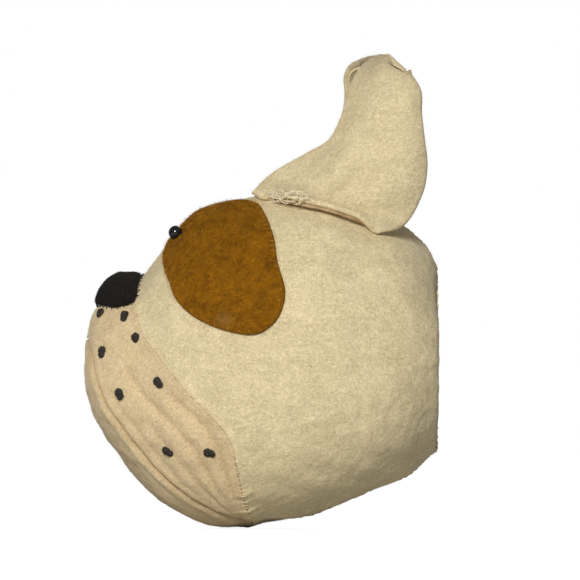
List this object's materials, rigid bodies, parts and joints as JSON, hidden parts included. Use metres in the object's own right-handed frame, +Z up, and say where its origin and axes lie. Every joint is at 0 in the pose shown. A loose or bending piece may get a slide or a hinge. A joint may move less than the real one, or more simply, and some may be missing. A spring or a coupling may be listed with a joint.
{
  "type": "hand puppet",
  "caption": "Felt dog's head hand puppet with a mouth that opens, raised floppy ears, a stuffed nose, bead eyes and a felt eye patch.",
  "frame": {"origin": "middle of the hand opening, in the plane of the hem", "axes": "+X points out of the hand opening and the dog faces -X; +Z is up through the crown; +Y is the dog's right side"},
  "size_m": [0.1767, 0.1438, 0.2377],
  "materials": {
    "cream_felt": "matte",
    "muzzle_felt": "matte",
    "brown_felt": "matte",
    "black_felt": "matte",
    "mouth_felt": "matte",
    "stuffing": "matte",
    "sleeve_cotton": "matte",
    "card": "matte",
    "cream_thread": "matte",
    "brown_thread": "matte",
    "black_thread": "matte",
    "black_bead": "gloss"
  },
  "bodies": {
    "head": {"left_head_side": "cream_felt", "right_head_side": "cream_felt", "muzzle_panel": "muzzle_felt", "crown_stuffing": "stuffing", "muzzle_stuffing": "stuffing", "hand_sleeve": "sleeve_cotton", "wrist_hem": "cream_felt", "hem_stitches": "cream_thread", "mouth_roof": "mouth_felt", "palate_card": "card", "nose_pad": "black_felt", "nose_stitches": "black_thread", "eye_patch": "brown_felt", "patch_stitches": "brown_thread", "left_eye_bead": "black_bead", "right_eye_bead": "black_bead", "left_whisker_knots": "black_thread", "right_whisker_knots": "black_thread", "muzzle_seam_stitches": "cream_thread", "crown_seam_stitches": "cream_thread", "left_ear_stitches": "cream_thread", "right_ear_stitches": "cream_thread"},
    "jaw": {"chin_panel": "cream_felt", "mouth_floor": "mouth_felt", "jaw_card": "card", "jaw_padding": "stuffing"},
    "left_ear": {"left_ear_felt": "cream_felt", "left_ear_lining": "cream_felt"},
    "right_ear": {"right_ear_felt": "cream_felt", "right_ear_lining": "cream_felt"}
  },
  "joints": [
    {"name": "jaw_open", "type": "hinge", "parent": "head", "child": "jaw", "pos_m": [-0.097, 0, -0.0795], "axis": [0, -1, 0], "range_deg": [0, 28], "stiffness_Nm_per_rad": 0.12, "springref_deg": -11.46},
    {"name": "left_ear_flop", "type": "hinge", "parent": "head", "child": "left_ear", "pos_m": [-0.0617, -0.0255, 0.0764], "axis": [0.921, -0.2924, -0.2575], "range_deg": [-4, 28], "stiffness_Nm_per_rad": 0.05},
    {"name": "right_ear_flop", "type": "hinge", "parent": "head", "child": "right_ear", "pos_m": [-0.0617, 0.0255, 0.0764], "axis": [-0.921, -0.2924, 0.2575], "range_deg": [-4, 28], "stiffness_Nm_per_rad": 0.05}
  ]
}
